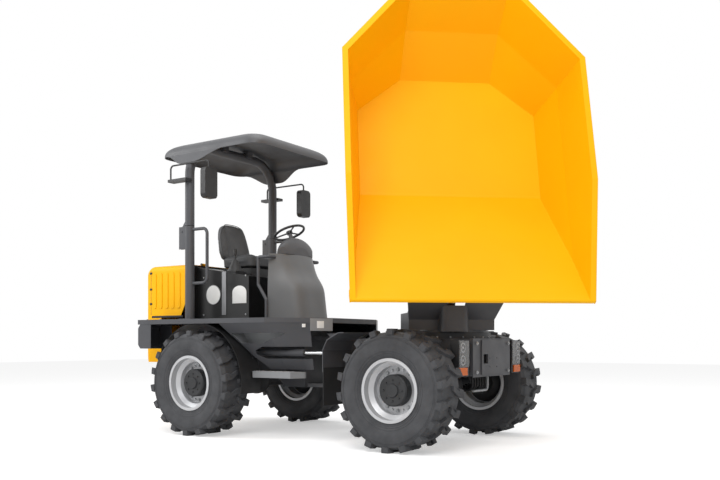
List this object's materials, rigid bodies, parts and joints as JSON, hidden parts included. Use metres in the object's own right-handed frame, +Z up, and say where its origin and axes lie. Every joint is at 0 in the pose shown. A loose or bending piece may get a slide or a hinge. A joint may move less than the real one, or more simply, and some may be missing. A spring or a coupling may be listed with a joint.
{
  "type": "articulated site dumper",
  "caption": "Articulated site dumper with a swivel tipping skip, folding roll-over frame with a canopy, and a rear engine under a hinged hood",
  "frame": {"origin": "on the ground under the middle of the whole machine's box in the stored pose", "axes": "+X forwards, +Y to the driver's left, +Z up"},
  "size_m": [5.0913, 2.6966, 4.116],
  "materials": {
    "yellow_paint": "powder coat, semi gloss",
    "dark_paint": "powder coat, matt dark grey",
    "light_paint": "light grey paint and bare tread plate",
    "black_paint": "satin black paint",
    "silver_paint": "silver wheel paint",
    "cast_grey": "painted castings",
    "tyre": "tyre rubber",
    "rubber": "moulded rubber",
    "grey_plastic": "moulded grey cover",
    "dark_plastic": "moulded dark grey roof and dome",
    "black_plastic": "grained black plastic",
    "seat_vinyl": "dark grey seat cover",
    "chrome": "hard chrome rod",
    "mirror": "mirror glass",
    "clear_lens": "clear lamp lens",
    "amber_lens": "amber indicator lens"
  },
  "bodies": {
    "rear_frame": {"rear_axle": "cast_grey", "rear_chassis": "dark_paint", "engine_block": "cast_grey", "rear_deck": "dark_paint", "corner_panels": "light_paint", "side_skirts": "dark_paint", "steps": "light_paint", "inner_fenders": "black_plastic", "rear_bumper": "dark_paint", "seat_box": "black_paint", "controls": "black_plastic", "seat_pads": "seat_vinyl", "cowl": "grey_plastic", "dashboard": "dark_plastic", "lower_posts": "dark_paint"},
    "front_frame": {"front_axle": "cast_grey", "front_chassis": "dark_paint", "mudguards": "dark_paint", "mud_flaps": "rubber", "front_plate": "dark_paint", "lamp_housings": "black_plastic", "lamp_lenses": "clear_lens", "indicator_lenses": "amber_lens", "slewing_ring": "cast_grey"},
    "turntable": {"console": "dark_paint"},
    "skip": {"skip": "yellow_paint"},
    "tip_barrel": {"tip_barrel": "dark_paint"},
    "tip_rod": {"tip_rod": "chrome"},
    "steer_barrel": {"steer_barrel": "dark_paint"},
    "steer_rod": {"steer_rod": "chrome"},
    "roll_over_frame": {"upper_hoop": "dark_paint", "canopy": "dark_plastic", "mirrors": "black_plastic", "mirror_glass": "mirror"},
    "hood": {"hood": "yellow_paint"},
    "steering_wheel": {"steering_wheel": "black_plastic"},
    "wheel_rear_left": {"tyre_rear_left": "tyre", "rim_rear_left": "silver_paint", "hub_rear_left": "cast_grey"},
    "wheel_rear_right": {"tyre_rear_right": "tyre", "rim_rear_right": "silver_paint", "hub_rear_right": "cast_grey"},
    "wheel_front_left": {"tyre_front_left": "tyre", "rim_front_left": "silver_paint", "hub_front_left": "cast_grey"},
    "wheel_front_right": {"tyre_front_right": "tyre", "rim_front_right": "silver_paint", "hub_front_right": "cast_grey"}
  },
  "joints": [
    {"name": "roll_rear_left", "type": "hinge", "parent": "rear_frame", "child": "wheel_rear_left", "pos_m": [-1.4046, 1.1439, 0.53657], "axis": [0, 1, 0], "continuous": true},
    {"name": "roll_rear_right", "type": "hinge", "parent": "rear_frame", "child": "wheel_rear_right", "pos_m": [-1.4046, -0.6061, 0.53657], "axis": [0, 1, 0], "continuous": true},
    {"name": "roll_front_left", "type": "hinge", "parent": "front_frame", "child": "wheel_front_left", "pos_m": [0.9954, 1.1439, 0.53657], "axis": [0, 1, 0], "continuous": true},
    {"name": "roll_front_right", "type": "hinge", "parent": "front_frame", "child": "wheel_front_right", "pos_m": [0.9954, -0.6061, 0.53657], "axis": [0, 1, 0], "continuous": true},
    {"name": "articulation", "type": "hinge", "parent": "rear_frame", "child": "front_frame", "pos_m": [-0.2046, 0.2689, 0.74907], "axis": [0, 0, 1], "range_deg": [-30, 30]},
    {"name": "swivel", "type": "hinge", "parent": "front_frame", "child": "turntable", "pos_m": [0.9524, 0.2689, 1.04407], "axis": [0, 0, 1], "range_deg": [-40.6, 139.4]},
    {"name": "tip", "type": "hinge", "parent": "turntable", "child": "skip", "pos_m": [1.52378, -0.39774, 1.61207], "axis": [0.7593, 0.6508, 0], "range_deg": [-75.83, 0]},
    {"name": "tip_cylinder_swing", "type": "hinge", "parent": "turntable", "child": "tip_barrel", "pos_m": [1.05002, 0.15501, 0.79907], "axis": [-0.7593, -0.6508, 0], "range_deg": [-16.55, 0]},
    {"name": "tip_cylinder_stroke", "type": "slide", "parent": "tip_barrel", "child": "tip_rod", "axis": [0.2223, -0.2594, 0.9398], "range_m": [-0.45553, 0]},
    {"name": "steer_cylinder_swing", "type": "hinge", "parent": "rear_frame", "child": "steer_barrel", "pos_m": [-1.1546, -0.3311, 0.84907], "axis": [0, 0, 1], "range_deg": [-7.25, 7.25]},
    {"name": "steer_cylinder_stroke", "type": "slide", "parent": "steer_barrel", "child": "steer_rod", "axis": [0.9999, -0.0157, 0], "range_m": [-0.31563, 0.31563]},
    {"name": "fold", "type": "hinge", "parent": "rear_frame", "child": "roll_over_frame", "pos_m": [-1.8526, 0.2689, 2.14907], "axis": [0, -1, 0], "range_deg": [0, 90]},
    {"name": "hood_lid", "type": "hinge", "parent": "rear_frame", "child": "hood", "pos_m": [-1.8806, 0.2689, 1.82107], "axis": [0, -1, 0], "range_deg": [-55, 0]},
    {"name": "steering_column", "type": "hinge", "parent": "rear_frame", "child": "steering_wheel", "pos_m": [-0.9316, 0.2689, 2.14607], "axis": [-0.3987, 0, 0.9171], "continuous": true}
  ],
  "couplings": [
    {"joint": "tip_cylinder_swing", "follows": "tip", "ratio": 0.21808},
    {"joint": "tip_cylinder_stroke", "follows": "tip", "m_per_rad": 0.34411},
    {"joint": "steer_cylinder_swing", "follows": "articulation", "ratio": 0.2414},
    {"joint": "steer_cylinder_stroke", "follows": "articulation", "m_per_rad": 0.60262}
  ]
}
